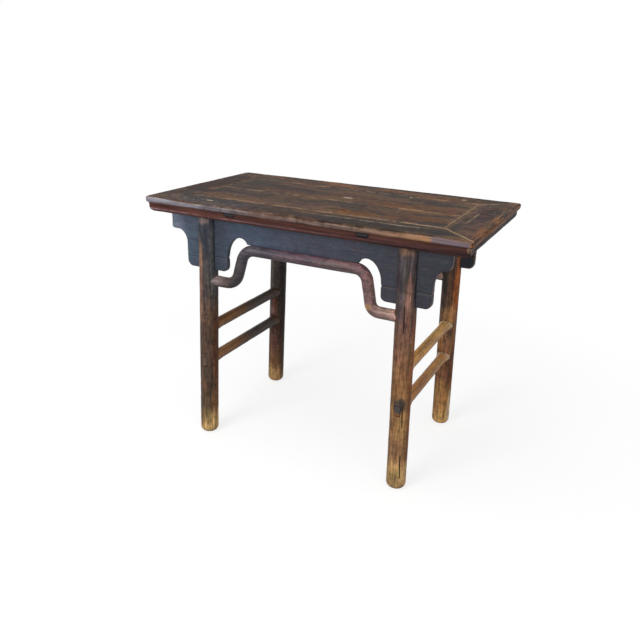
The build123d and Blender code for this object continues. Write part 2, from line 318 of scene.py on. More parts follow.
# in this and the later looks, warm and cool tint the rubbed and the kept finish, rose and moss vary its
# hue, spread is how softly it wears through, along, fine, bands and weights set the grain, and rough is
# the roughness that wear and streaks add and the one that is everywhere
topLook = {
    "tone": paint(78, 61, 50),
    "warm": (1.05, 1.00, 0.90, 1),
    "cool": (1.03, 0.97, 0.93, 1),
    "rose": (1.05, 0.96, 1.04, 1),
    "moss": (0.99, 1.01, 0.93, 1),
    "contrast": 1.50,
    "grime": 0.5,
    "nick": paint(164, 144, 124),
    "nicks": 0.5,
    # the colour of pits, also used for the painted shade along the foot of the bead
    "pit": paint(22, 18, 18),
    "pits": 0.8,
    "spread": 0.75,
    "along": 6,
    "fine": 2.5,
    "weights": (4.2, 4.2, 1.8, 0.9),
    "bands": 9,
    "seam": paint(184, 158, 128),
    "seamWorn": paint(108, 86, 68),
    "crack": paint(20, 16, 16),
    "mark": paint(186, 166, 146),
    "fleck": paint(146, 134, 140),
    # the pale lip band: rubbed bare wood at the right, partly a painted highlight at the left
    "rubbedLip": ((-0.30, paint(132, 128, 136)), (-0.08, paint(112, 93, 87)),
                  (0.15, paint(112, 93, 87)), (0.42, paint(148, 110, 80))),
    "rubbedEdge": paint(112, 93, 87),
    "lipPurple": paint(100, 88, 96),
    # dark lacquer for streaks on the lip, also the painted shade towards its foot
    "lipShade": paint(64, 44, 38),
    "lipGold": paint(134, 90, 56),
    "arrisLeft": paint(178, 172, 176),
    "arrisRight": paint(184, 152, 124),
    "hollow": paint(75, 47, 41),
    "bead": paint(80, 48, 43),
    "beadRight": paint(58, 37, 37),
    "endEdge": paint(43, 34, 31),
    "cornerWorn": paint(178, 148, 120),
    "crest": paint(160, 132, 138),
    "crestRight": paint(92, 62, 58),
    "underside": paint(96, 76, 58),
    "rough": (0.12, 0.25, 0.42),
    "gloss": 0.06,
    "relief": 0.0008,
}

# the two end pieces are rougher, with pale flecks
endChanges = {
    "warm": (1.03, 0.99, 0.95, 1),
    "weights": (1.8, 3.0, 4.0, 1.6),
    "nick": paint(150, 130, 132),
    "nicks": 0.5,
}

# rubbed, sooted and stained places on the top: centre, half size, paint and strength
topPlaces = {
    "back rail rubbed brown": ((-0.17, 0.25), (0.32, 0.04), paint(96, 69, 51), 0.9),
    "back rail, right part": ((0.27, 0.22), (0.16, 0.05), paint(84, 62, 52), 0.8),
    "sooted back corner": ((0.30, 0.285), (0.16, 0.02), paint(46, 36, 36), 0.8),
    "dark back board": ((-0.25, 0.07), (0.18, 0.05), paint(62, 47, 42), 0.9),
    "dull middle": ((0.04, 0.085), (0.12, 0.045), paint(66, 51, 42), 0.8),
    "worn middle": ((0.28, 0.02), (0.17, 0.06), paint(90, 61, 42), 0.8),
    "grey front board": ((-0.16, -0.10), (0.16, 0.05), paint(64, 52, 48), 0.8),
    "amber stain": ((0.135, -0.145), (0.070, 0.04), paint(94, 62, 28), 0.9),
    "brown beside the stain": ((0.32, -0.13), (0.10, 0.05), paint(80, 53, 38), 0.7),
    "slate front rail": ((-0.30, -0.25), (0.20, 0.05), paint(60, 54, 57), 0.9),
    "sooted front rail": ((0.12, -0.262), (0.30, 0.035), paint(45, 36, 33), 0.9),
    "strip above the crack": ((0.15, -0.208), (0.18, 0.010), paint(74, 54, 41), 0.8),
    "dark front corner": ((0.42, -0.25), (0.035, 0.04), paint(46, 40, 38), 0.9),
    "dark left end": ((-0.475, 0.03), (0.05, 0.22), paint(46, 30, 26), 0.9),
    "dark right end": ((0.475, 0.04), (0.035, 0.12), paint(54, 38, 35), 0.9),
}

# pale knocks on the top: place and half size
topKnocks = (
    ((0.192, 0.178), (0.004, 0.014)),
    ((0.353, 0.238), (0.010, 0.010)),
    ((0.020, 0.047), (0.018, 0.010)),
    ((-0.318, -0.243), (0.015, 0.006)),
)

# where pale lilac flecks show the slate finish scuffed: place, half size and strength
topScuffs = (
    ((-0.33, -0.25), (0.20, 0.06), 1.0),
    ((0.46, 0.06), (0.06, 0.16), 0.9),
)

# cracks in the front rail and the right end: place across, the two ends and how far they wander
topCracks = {
    "front": {"at": -0.232, "ends": (0.00, 0.36), "wander": 0.012},
    "end": {"at": 0.452, "ends": (-0.10, 0.05), "wander": 0.008},
}

# where things set in along the top and its front edge, from the first place to the second
topSpans = {
    "seams paler": (0.30, 0.44),
    "seams clearer": (-0.50, 0.40),
    "golden strip": (halfLength - 0.030, halfLength - 0.018),
    "band lower": (-0.48, -0.38),
    "band higher": (0.20, 0.40),
    "band whole at the left": (-0.22, -0.38),
    "band whole at the right": (0.28, 0.36),
    "arris duller": (-0.40, -0.15),
    "arris browner": (-0.25, 0.10),
    "purple": (0.408, 0.424),
    "purple over": (halfLength - 0.008, halfLength - 0.016),
    "golden end": (halfLength - 0.014, halfLength - 0.008),
    "bead darker": (-0.20, 0.40),
    "crest paler": (-0.22, -0.48),
    "end face": (halfLength - 0.018, halfLength - 0.014),
}

# the chipped front right corner of the moulding: centre, half size and strength
cornerChip = ((halfLength - 0.011, 0.012 - halfDepth, face - 0.019), (0.010, 0.014, 0.016), 1.0)


def onTop(place, half, *rest):
    # a flat place on the top as an oval that reaches all the way down
    return ((*place, face), (*half, 9), *rest)


def lipTone(x, y, z, under, streak, broken, scrape):
    # the rounded lip: a pale band low on it, rubbed bare at the right and partly a painted highlight at
    # the left, a painted highlight along its arris, purple near the right corner, golden at the end, and
    # painted shade towards its foot
    look, plan, spans = topLook, topPlan, topSpans
    ragged = (broken - 0.5) * 0.012 + (streak - 0.5) * 0.010
    front = y.rise(*plan["frontLip"])
    bandTop = plan["bandTop"] - x.rise(*spans["band lower"]) * 0.0045
    bandTop = bandTop + x.rise(*spans["band higher"]) * 0.0025
    below = (z + ragged - bandTop).rise(0.0028, -0.0028)
    kept = broken.rise(0.36, 0.54) * 0.55 + 0.40
    kept = kept.most(x.rise(*spans["band whole at the left"]) * 0.92)
    kept = kept.most(x.rise(*spans["band whole at the right"]) * 0.92)
    lip = (below * kept).over(climb(x, look["rubbedLip"]), under)

    # painted highlight along the arris at the top of the band, lilac at the left and warm at the right
    arrisHighlight = (z + ragged * 0.5).line(bandTop, 0.0010, 0.0018) * broken.rise(0.42, 0.60) * front
    arrisHighlight = arrisHighlight * (0.70 - x.rise(*spans["arris duller"]) * 0.40)
    arrisHighlightTone = x.rise(*spans["arris browner"]).over(look["arrisRight"], look["arrisLeft"])
    lip = arrisHighlight.over(arrisHighlightTone, lip)

    purple = (x + ragged * 2).rise(*spans["purple"]) * x.rise(*spans["purple over"])
    purple = purple * (z + ragged).rise(face + 0.001, face - 0.005) * front
    lip = (purple * (0.4 + broken)).over(look["lipPurple"], lip)

    gold = scrape.rise(0.40, 0.56).over(look["lipGold"], look["lipShade"])
    lip = (x + ragged).rise(*spans["golden end"]).over(gold, lip)
    lip = (streak.rise(0.46, 0.32) * below * 0.6).over(look["lipShade"], lip)
    # painted shade: the lip darkens towards its foot, above the hollow
    foot = (z + ragged * 0.4).rise(plan["lipFoot"] + 0.006, plan["lipFoot"] + 0.001)
    return (foot * 0.75).over(look["lipShade"], lip)


def mouldingTone(spot, x, z, streak, broken):
    # the hollow and the bead below the lip: dark red lacquer with a painted highlight along the bead's
    # crest, and painted shade where the bead turns under
    look, plan, spans = topLook, topPlan, topSpans
    side = x.rise(*spans["bead darker"])
    bead = side.over(look["beadRight"], look["bead"])
    # painted highlight along the crest of the bead, stronger at the left
    crest = (broken + streak).rise(0.75, 1.15) * (x.rise(*spans["crest paler"]) * 0.25 + 0.35)
    crest = z.line(plan["crest"], 0.0008, 0.0030) * crest
    bead = crest.over(side.over(look["crestRight"], look["crest"]), bead)
    # painted shade: the bead darkens towards the underside, where it turns down
    bead = (z.rise(plan["underside"] + 0.007, plan["underside"]) * 0.6).over(look["pit"], bead)
    edge = z.rise(plan["beadTop"] - 0.001, plan["beadTop"] + 0.001).over(look["hollow"], bead)
    edge = (x.rise(*spans["end face"]) * 0.8).over(look["endEdge"], edge)
    chip = patches(spot, (cornerChip,)) * broken.rise(0.28, 0.48)
    return chip.over(look["cornerWorn"], edge)


def edgeTone(spot, x, y, z, under, streak, broken, scrape):
    # the whole moulded edge, with fine lines along it
    line = spot.cloud((9, 30, 170), 8, 4, 0.65)
    lip = lipTone(x, y, z, under, streak, broken, scrape)
    lip = (line.rise(0.32, 0.68) * 0.75 + 0.64).dim(lip)
    moulding = mouldingTone(spot, x, z, streak, broken)
    moulding = (line.rise(0.30, 0.70) * 0.9 + 0.55).dim(moulding)
    lipFoot = topPlan["lipFoot"]
    return z.rise(lipFoot - 0.0005, lipFoot + 0.0005).over(lip, moulding)


def crackDistance(across, along, crack, broken):
    # how far a point is from a wandering crack, which fades out beyond its two ends
    start, stop = crack["ends"]
    far = abs(across - crack["at"] + (broken - 0.5) * crack["wander"])
    return far + along.rise(start, start - 0.03) + along.rise(stop, stop + 0.03)


def topFinish(name, grain, look):
    material, spot = startFinish(name)
    x, y, z = (spot.axis(letter) for letter in "XYZ")
    plan, spans = topPlan, topSpans
    panelX = halfLength - plan["rail"]
    panelY = halfDepth - plan["rail"]

    # how far a point is from the ring round the panel, the mitres, the board joint and the edge
    outside = (abs(x) - panelX).most(abs(y) - panelY)
    mitre = abs(abs(x) - abs(y) - (panelX - panelY)) * math.sqrt(0.5) + outside.rise(0, -0.002)
    joint = abs(y - plan["boardJoint"]) + outside.rise(-0.002, 0)
    frameSeam = abs(outside).least(mitre)
    seam = frameSeam.least(joint)
    inset = (halfLength - abs(x)).least(halfDepth - abs(y))
    broken = spot.cloud(evenly(24), 6, 5, 0.65)

    flat = spot.node("ShaderNodeCombineXYZ", {}, {0: x, 1: y, 2: face})
    tone = blend(flat, look["tone"], [onTop(*place) for place in topPlaces.values()], broken)
    tone = (seam.rise(0.020, 0.004) * broken.rise(0.34, 0.58) * 0.6).over(look["seamWorn"], tone)
    wood = agedWood(spot, grain, 1, look, tone)
    colour, mottle, streak = wood["colour"], wood["mottle"], wood["streak"]

    fleck = spot.cloud((55, 75, 60), 12, 6, 0.8).rise(0.53, 0.66)
    scuffed = patches(spot, [onTop(*scuff) for scuff in topScuffs])
    colour = (fleck * scuffed * 0.55).over(look["fleck"], colour)

    # pale lines along the seams, stronger to the right, with a dark gap here and there
    strength = x.rise(*spans["seams paler"])
    lengthwise = (abs(x) - panelX).rise(0.002, -0.002)
    line = (frameSeam - strength * 0.0010 - lengthwise * 0.0014).rise(0.0026, 0.0010)
    line = line * broken.rise(0.40, 0.56).most(strength * 0.8)
    line = line * (x.rise(*spans["seams clearer"]) * 0.5 + 0.5)
    jointLine = joint.rise(0.0040, 0.0016) * broken.rise(0.44, 0.56) * 0.7
    line = (line * (1 - lengthwise * 0.3)).most(jointLine)
    colour = line.over(look["seam"], colour)
    colour = (seam.rise(0.0007, 0.0003) * broken.rise(0.56, 0.42)).over(look["crack"], colour)

    # the cracks, dark with pale rims, and the knocks
    frontCrack = crackDistance(y, x, topCracks["front"], broken)
    endCrack = crackDistance(x, y, topCracks["end"], broken)
    cracks = frontCrack.least(endCrack)
    pale = (frontCrack.rise(0.0060, 0.0025) * 0.7).most(endCrack.rise(0.0035, 0.0012))
    colour = (pale * mottle.rise(0.40, 0.54) * 0.8).over(look["seam"], colour)
    colour = (cracks.rise(0.0012, 0.0004) * mottle.rise(0.62, 0.50)).over(look["crack"], colour)
    for place, half in topKnocks:
        knock = patches(spot, (onTop(place, half, 1.0),))
        colour = (knock * mottle.rise(0.34, 0.50) * 0.9).over(look["mark"], colour)

    # golden strip rubbed bare along the right end, then the moulding and the rough underside
    scrape = spot.cloud((120, 10, 90), 9, 5, 0.65)
    strip = (x + (broken - 0.5) * 0.025).rise(*spans["golden strip"]) * scrape.rise(0.46, 0.60)
    colour = strip.over(look["lipGold"], colour)
    edge = edgeTone(spot, x, y, z, colour, streak, broken, scrape)
    lipMask = (inset + (broken - 0.5) * 0.010).rise(*plan["lipInset"])
    lipMask = lipMask.most(z.rise(face - 0.003, face - 0.006))
    colour = lipMask.over(edge, colour)
    low = z.rise(plan["underside"] + 0.0016, plan["underside"] + 0.0008)
    colour = low.over(look["underside"], colour)

    wear = spot.mark("wornEdge").rise(0.35, 0.85) * broken.rise(0.46, 0.60)
    wear = wear * z.rise(plan["lipFoot"] - 0.005, plan["lipFoot"] + 0.001)
    wood["colour"] = (wear * 0.4).over(look["rubbedEdge"], colour)
    wood["height"] = wood["height"] - seam.rise(0.0016, 0.0004) * 1.2 - cracks.rise(0.0016, 0.0004)
    closeFinish(spot, look, wood)
    return material


# apron boards and spandrel tips: slate lacquer, bluer at the left
apronLook = {
    "warm": (1.03, 1.00, 0.97, 1),
    "cool": (0.96, 1.00, 1.06, 1),
    "rose": (1.07, 0.96, 1.02, 1),
    "moss": (0.92, 1.03, 1.02, 1),
    "contrast": 0.50,
    "grime": 0.25,
    "nick": paint(150, 130, 116),
    "nicks": 0.15,
    "pit": paint(26, 26, 30),
    "pits": 0.5,
    "spread": 0.45,
    "along": 11,
    "fine": 2.2,
    "weights": (1.3, 2.0, 1.6, 0.9),
    "bands": 60,
    "bareWood": paint(132, 96, 72),
    "rubbedFrom": (0.05, 0.35),
    "scuffedFrom": (-0.10, 0.20),
    "rough": (0.10, 0.25, 0.34),
    "gloss": 0.25,
    "relief": 0.0005,
}

# lacquer tones along the boards, by distance from the middle
apronTones = ((-0.46, paint(98, 106, 120)), (-0.40, paint(61, 71, 85)), (-0.31, paint(42, 50, 61)),
              (-0.20, paint(55, 65, 82)), (0.05, paint(50, 52, 65)), (0.40, paint(40, 41, 49)))


# the right ears are a little shorter than the left ones, with rounder corners: where they start, how much
# shorter they are, their lower edge and the sizes of the corner
earTrim = {
    "from": 0.430,
    "shorter": 0.009,
    "bottom": 0.717,
    "cornerLong": 0.018,
    "cornerHigh": 0.026,
}


def trimEar(mesh):
    end = max(vertex.co.x for vertex in mesh.vertices)
    start, long, high = earTrim["from"], earTrim["cornerLong"], earTrim["cornerHigh"]
    squeeze = (end - earTrim["shorter"] - start) / (end - start)
    middleX = end - earTrim["shorter"] - long
    middleZ = earTrim["bottom"] + high
    for vertex in mesh.vertices:
        if vertex.co.x > start:
            vertex.co.x = start + (vertex.co.x - start) * squeeze
        far = math.hypot((vertex.co.x - middleX) / long, (vertex.co.z - middleZ) / high)
        if vertex.co.x > middleX and vertex.co.z < middleZ and far > 1:
            vertex.co.x = middleX + (vertex.co.x - middleX) / far
            vertex.co.z = middleZ + (vertex.co.z - middleZ) / far


def apronFinish(name):
    material, spot = startFinish(name)
    x = spot.axis("X")
    look = apronLook
    broken = spot.cloud(evenly(30), 16, 5, 0.65)
    wood = agedWood(spot, "x", 11, look, climb(x, apronTones))
    rubbed = spot.mark("wornEdge").rise(0.25, 0.85) * broken.rise(0.38, 0.56)
    rubbed = rubbed * (x.rise(*look["rubbedFrom"]) * 0.5 + 0.2)
    colour = rubbed.over(look["bareWood"], wood["colour"])
    scuff = broken.rise(0.60, 0.72) * wood["streak"].rise(0.50, 0.60) * x.rise(*look["scuffedFrom"])
    wood["colour"] = (scuff * 0.25).over(look["bareWood"], colour)
    closeFinish(spot, look, wood)
    return material


# legs: slate lacquer near the top worn through to brown and golden wood towards the feet
legLook = {
    "warm": (1.06, 1.00, 0.90, 1),
    "rose": (1.04, 0.97, 1.02, 1),
    "moss": (0.98, 1.02, 0.95, 1),
    "grime": 0.40,
    "nick": paint(190, 164, 134),
    "nicks": 0.25,
    "pit": paint(34, 25, 22),
    "pits": 0.6,
    "spread": 0.45,
    "along": 9,
    "fine": 2.2,
    "weights": (1.3, 2.4, 1.6, 1.8),
    "bands": 70,
    # how much painted shade, partly grime, darkens the two sides of each leg
    "edgeShade": 0.34,
    "rough": (0.12, 0.25, 0.40),
    "gloss": 0.14,
    "relief": 0.0008,
}

# the legs' radius, and how far the side that their worn places and their painted side shade are laid on
# is turned from the front, about as far as the camera is
legPlan = {
    "radius": 0.031,
    "turn": 26,
}

# tones up each leg by height, then worn places at (place across the front, height) with half sizes,
# paint and strength, then cracks between two such places
legs = {
    "leg_front_right": {
        "side": (1, -1), "seed": 21, "contrast": 0.85, "cool": (1.00, 0.96, 0.93, 1),
        "tones": ((0.030, paint(158, 128, 92)), (0.065, paint(180, 148, 100)),
                  (0.14, paint(128, 99, 71)), (0.24, paint(160, 124, 84)), (0.36, paint(132, 96, 67)),
                  (0.56, paint(108, 81, 70)), (0.735, paint(76, 70, 72))),
        "places": {
            "slate on the left": ((-0.75, 0.67), (0.35, 0.10), paint(74, 68, 76), 0.8),
            "slate on the right": ((0.85, 0.66), (0.40, 0.15), paint(54, 52, 60), 0.9),
            "rubbed below the apron": ((0.00, 0.65), (0.25, 0.06), paint(152, 114, 104), 0.8),
            "red right side": ((1.00, 0.27), (0.42, 0.26), paint(140, 84, 48), 0.9),
            "brown left side": ((-0.55, 0.30), (0.30, 0.10), paint(118, 80, 50), 0.6),
            "pale foot edge": ((0.90, 0.05), (0.45, 0.05), paint(216, 180, 134), 0.8),
            "dark round the tenon": ((-0.27, 0.294), (0.66, 0.026), paint(68, 58, 56), 1.0),
            "worn neck": ((-0.30, 0.760), (0.70, 0.014), paint(124, 98, 80), 0.8)},
        "cracks": (((-0.30, 0.515), (-0.26, 0.61)), ((0.14, 0.215), (0.06, 0.30)),
                   ((0.22, 0.040), (0.14, 0.13)))},
    "leg_front_left": {
        "side": (-1, -1), "seed": 22, "contrast": 0.90, "cool": (0.98, 0.98, 1.00, 1),
        "tones": ((0.030, paint(188, 156, 108)), (0.065, paint(130, 108, 72)),
                  (0.105, paint(84, 70, 56)), (0.20, paint(75, 60, 51)), (0.42, paint(86, 66, 56)),
                  (0.56, paint(68, 64, 62)), (0.72, paint(50, 55, 64))),
        "places": {
            "rubbed left side": ((-0.88, 0.56), (0.34, 0.13), paint(132, 98, 82), 0.9),
            "red right side": ((0.95, 0.30), (0.40, 0.26), paint(100, 62, 41), 0.9),
            "grey below the apron": ((0.75, 0.62), (0.45, 0.13), paint(84, 86, 90), 0.8),
            "brown shin": ((-0.30, 0.16), (0.50, 0.05), paint(94, 68, 52), 0.6),
            "worn neck": ((-0.60, 0.762), (0.60, 0.012), paint(110, 100, 100), 0.85),
            "worn right shin": ((0.90, 0.12), (0.50, 0.10), paint(140, 100, 70), 0.9),
            "pale foot edge": ((0.85, 0.045), (0.60, 0.045), paint(240, 196, 138), 1.0)},
        "cracks": ()},
    "leg_back_left": {
        "side": (-1, 1), "seed": 23, "contrast": 0.75, "cool": (0.98, 0.98, 1.00, 1),
        "tones": ((0.035, paint(184, 148, 102)), (0.085, paint(118, 86, 60)), (0.18, paint(88, 62, 54)),
                  (0.36, paint(60, 50, 47)), (0.52, paint(62, 56, 56))),
        "places": {
            "dark right side": ((0.90, 0.40), (0.45, 0.45), paint(40, 30, 28), 0.8),
            "red by the stretchers": ((-0.35, 0.35), (0.30, 0.05), paint(112, 68, 52), 0.7),
            "rubbed by the lower joint": ((-0.65, 0.315), (0.40, 0.018), paint(118, 96, 86), 0.9),
            "worn left side": ((-0.80, 0.44), (0.36, 0.09), paint(98, 86, 82), 0.8)},
        "cracks": ()},
    "leg_back_right": {
        "side": (1, 1), "seed": 24, "contrast": 0.95, "cool": (0.99, 0.97, 0.96, 1),
        "tones": ((0.035, paint(178, 142, 92)), (0.095, paint(168, 126, 76)), (0.20, paint(112, 76, 56)),
                  (0.40, paint(130, 98, 70)), (0.50, paint(94, 68, 52)), (0.70, paint(90, 70, 64))),
        "places": {
            "orange right side": ((0.75, 0.52), (0.50, 0.13), paint(168, 98, 54), 0.9),
            "slate left side": ((-0.80, 0.60), (0.40, 0.15), paint(70, 60, 58), 0.9),
            "rubbed above the joint": ((0.20, 0.43), (0.65, 0.04), paint(164, 120, 80), 0.9),
            "rubbed between the joints": ((-0.85, 0.34), (0.30, 0.05), paint(148, 104, 62), 0.8),
            "dark by the upper joint": ((0.10, 0.365), (0.35, 0.030), paint(76, 58, 52), 0.8),
            "dark by the lower joint": ((0.20, 0.225), (0.35, 0.05), paint(120, 80, 60), 0.8),
            "dark left shin": ((-0.70, 0.095), (0.45, 0.045), paint(132, 98, 68), 0.8),
            "red right shin": ((0.90, 0.28), (0.35, 0.13), paint(118, 66, 44), 0.8),
            "pale foot edge": ((0.85, 0.05), (0.30, 0.06), paint(232, 210, 180), 0.9)},
        "cracks": ()},
}


def legAxis(node, side, z):
    # where a leaning leg's axis is at each height: its foot is at the outer side of the solid's box
    share = z * (1 / topPlan["underside"])
    axis = []
    for low, high, outward in zip(*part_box(node), side):
        inner, outer = (low, high) if outward > 0 else (high, low)
        foot = outer - outward * legPlan["radius"]
        lean = inner + outward * legPlan["radius"] - foot
        axis.append(foot + share * lean)
    return axis


def legFinish(name, node, leg):
    material, spot = startFinish(name)
    x, y, z = (spot.axis(letter) for letter in "XYZ")
    look = dict(legLook, contrast=leg["contrast"], cool=leg["cool"])
    seed = leg["seed"]
    axisX, axisY = legAxis(node, leg["side"], z)
    turn = math.radians(legPlan["turn"])
    across = (x - axisX) * math.cos(turn) + (y - axisY) * math.sin(turn)
    across = across * (1 / legPlan["radius"])
    broken = spot.cloud((22, 22, 12), seed + 0.9, 5, 0.65)
    wander = spot.cloud((50, 50, 5), seed + 0.1, 4, 0.6)

    flat = spot.node("ShaderNodeCombineXYZ", {}, {0: across, 1: 0, 2: z})
    level = z + (wander - 0.5) * 0.10 + (broken - 0.5) * 0.05
    places = [((place, 0, high), (wide, 9, tall), colour, amount)
              for (place, high), (wide, tall), colour, amount in leg["places"].values()]
    ragged = broken * 0.4 + wander * 1.4 - 0.4
    wood = agedWood(spot, "z", seed, look, blend(flat, climb(level, leg["tones"]), places, ragged))
    # painted shade, partly grime: each leg darkens towards its two sides as seen from the turned front
    sideShadeAndGrime = (abs(across) + (wander - 0.5) * 0.5).rise(0.55, 1.05)
    colour = (1 - sideShadeAndGrime * look["edgeShade"]).dim(wood["colour"])

    for (lowPlace, lowZ), (highPlace, highZ) in leg["cracks"]:
        slope = (highPlace - lowPlace) / (highZ - lowZ)
        far = across - (z - lowZ) * slope - lowPlace + (broken - 0.5) * 0.25
        crack = far.line(0, 0.03, 0.05) * z.rise(lowZ, lowZ + 0.012) * z.rise(highZ, highZ - 0.012)
        crack = crack * wood["streak"].rise(0.30, 0.42) * (y - axisY).rise(0.005, -0.005)
        colour = crack.over(look["pit"], colour)
        wood["height"] = wood["height"] - crack * 2
    wood["colour"] = colour
    closeFinish(spot, look, wood)
    return material


# humpback stretchers: dark red-brown lacquer, paler and pinkish towards the right, partly rubbed and
# partly a painted highlight, with painted light on top and painted shade underneath
humpLook = {
    "warm": (1.08, 1.00, 0.96, 1),
    "cool": (0.94, 1.00, 1.04, 1),
    "rose": (1.04, 0.97, 1.02, 1),
    "moss": (0.98, 1.02, 0.95, 1),
    "contrast": 0.85,
    "grime": 0.35,
    "nick": paint(168, 136, 116),
    "nicks": 0.4,
    "pit": paint(28, 22, 24),
    "pits": 0.5,
    "spread": 0.45,
    "along": 11,
    "fine": 2.2,
    "weights": (1.6, 2.6, 1.8, 1.0),
    "bands": 70,
    "bareWood": paint(168, 132, 78),
    "bareAt": ((0.228, -0.247, 0.577), (0.014, 0.03, 0.010), 1.0),
    "rubbedTop": 0.75,
    "rough": (0.12, 0.25, 0.30),
    "gloss": 0.30,
    "relief": 0.0005,
}

# lacquer tones along the stretchers, by distance from the middle; the pale stop at the left end is partly
# a painted highlight on the low run, and the pinkish rise to the right is partly a painted highlight
# along the top
humpTones = ((-0.305, paint(116, 98, 100)), (-0.262, paint(62, 53, 52)), (-0.235, paint(49, 44, 43)),
             (-0.190, paint(66, 61, 71)), (0.02, paint(78, 61, 69)), (0.21, paint(103, 77, 77)),
             (0.31, paint(158, 126, 114)))


def humpFinish(name):
    material, spot = startFinish(name)
    x = spot.axis("X")
    look = humpLook
    wood = agedWood(spot, "x", 31, look, climb(x, humpTones))
    # painted light and shade: the stretchers are lighter where they face up and darker where they face
    # down
    colour = (spot.mark("upFace") * look["rubbedTop"] + 0.95).dim(wood["colour"])
    rubbed = patches(spot, (look["bareAt"],)) * wood["mottle"].rise(0.34, 0.52)
    wood["colour"] = rubbed.over(look["bareWood"], colour)
    closeFinish(spot, look, wood)
    return material


# side stretchers: golden wood rubbed clean on top at the right, dark brown at the left, darker
# underneath, partly painted shade
sideLook = {
    "warm": (1.03, 1.00, 0.97, 1),
    "cool": (1.03, 0.96, 0.89, 1),
    "rose": (1.03, 0.98, 1.00, 1),
    "moss": (0.99, 1.01, 0.97, 1),
    "contrast": 0.70,
    "grime": 0.35,
    "nick": paint(190, 160, 120),
    "nicks": 0.3,
    "pit": paint(28, 22, 20),
    "pits": 0.5,
    "spread": 0.45,
    "along": 8,
    "fine": 2.2,
    "weights": (1.6, 2.8, 1.0, 1.8),
    "bands": 80,
    "collarFrom": (0.165, 0.200),
    "collarTo": (0.230, 0.220),
    "tenonFrom": (0.250, 0.254),
    "tenonAbove": (-0.007, -0.003),
    "rough": (0.10, 0.25, 0.34),
    "gloss": 0.25,
    "relief": 0.0006,
}

# tones on top by distance from the middle of the rod, then those below, darker partly as painted shade,
# and at its ends
sideStretchers = {
    "side_stretcher_left_upper": {
        "seed": 41, "top": ((-0.16, paint(140, 96, 52)), (0.06, paint(58, 44, 36))),
        "under": paint(44, 34, 30), "tenon": paint(78, 60, 50), "joint": paint(84, 66, 56)},
    "side_stretcher_left_lower": {
        "seed": 42, "top": ((-0.16, paint(156, 110, 64)), (0.04, paint(58, 45, 39))),
        "under": paint(46, 36, 33), "tenon": paint(84, 66, 56), "joint": paint(98, 72, 56)},
    "side_stretcher_right_upper": {
        "seed": 43, "top": ((-0.12, paint(204, 152, 84)), (0.12, paint(208, 164, 98))),
        "under": paint(104, 74, 46), "tenon": paint(60, 52, 51), "joint": paint(208, 186, 156)},
    "side_stretcher_right_lower": {
        "seed": 44, "top": ((-0.12, paint(174, 120, 64)), (0.12, paint(180, 132, 76))),
        "under": paint(96, 64, 40), "tenon": paint(66, 58, 57), "joint": paint(200, 178, 148)},
}


def sideFinish(name, node, rod):
    material, spot = startFinish(name)
    y, z = (spot.axis(letter) for letter in "YZ")
    look, seed = sideLook, rod["seed"]
    low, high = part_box(node)
    above = z - (low.z + high.z) / 2
    broken = spot.cloud((40, 12, 40), seed + 0.9, 4, 0.6)
    # the lower half of each rod takes the darker under tone, partly painted shade
    upper = (above + (broken - 0.5) * 0.012).rise(-0.013, 0.004)
    tone = upper.over(climb(y, rod["top"]), rod["under"])
    collar = (y + (broken - 0.5) * 0.03).rise(*look["collarFrom"]) * y.rise(*look["collarTo"])
    tone = (collar * upper * 0.75).over(rod["joint"], tone)
    wood = agedWood(spot, "y", seed, look, tone)
    tenon = abs(y).rise(*look["tenonFrom"]) * (above + (broken - 0.5) * 0.010).rise(*look["tenonAbove"])
    wood["colour"] = tenon.over(rod["tenon"], wood["colour"])
    closeFinish(spot, look, wood)
    return material


# battens under the panel: plain unlacquered wood with dark ends
battenLook = {
    "tones": ((-0.2, paint(88, 70, 56)), (0.2, paint(96, 78, 62))),
    "warm": (1.08, 1.00, 0.90, 1),
    "cool": (0.95, 0.99, 1.03, 1),
    "rose": (1.04, 0.97, 1.02, 1),
    "moss": (0.98, 1.02, 0.95, 1),
    "contrast": 0.70,
    "grime": 0.40,
    "nick": paint(150, 130, 110),
    "nicks": 0.3,
    "pit": paint(26, 24, 22),
    "pits": 0.6,
    "spread": 0.45,
    "along": 11,
    "fine": 2.2,
    "weights": (1.3, 2.0, 1.6, 0.9),
    "bands": 60,
    "end": paint(42, 42, 44),
    "endLength": 0.019,
    "rough": (0, 0.20, 0.60),
    "gloss": 0.15,
    "relief": 0.0006,
}


def battenFinish(name):
    material, spot = startFinish(name)
    y = spot.axis("Y")
    look = battenLook
    wood = agedWood(spot, "y", 51, look, climb(y, look["tones"]))
    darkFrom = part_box("batten_left")[1].y - look["endLength"]
    wood["colour"] = abs(y).rise(darkFrom, darkFrom + 0.004).over(look["end"], wood["colour"])
    closeFinish(spot, look, wood)
    return material


# worn surfaces: blur steps that find the edges, chips along them, the scale of the edge mark, and how
# far apart the noise of two seeds is taken
wearPlan = {
    "edgeSteps": 5,
    "chipsPerMetre": 45,
    "edgeScale": 700,
    "seedSteps": (1.7, 2.9, 4.1),
}


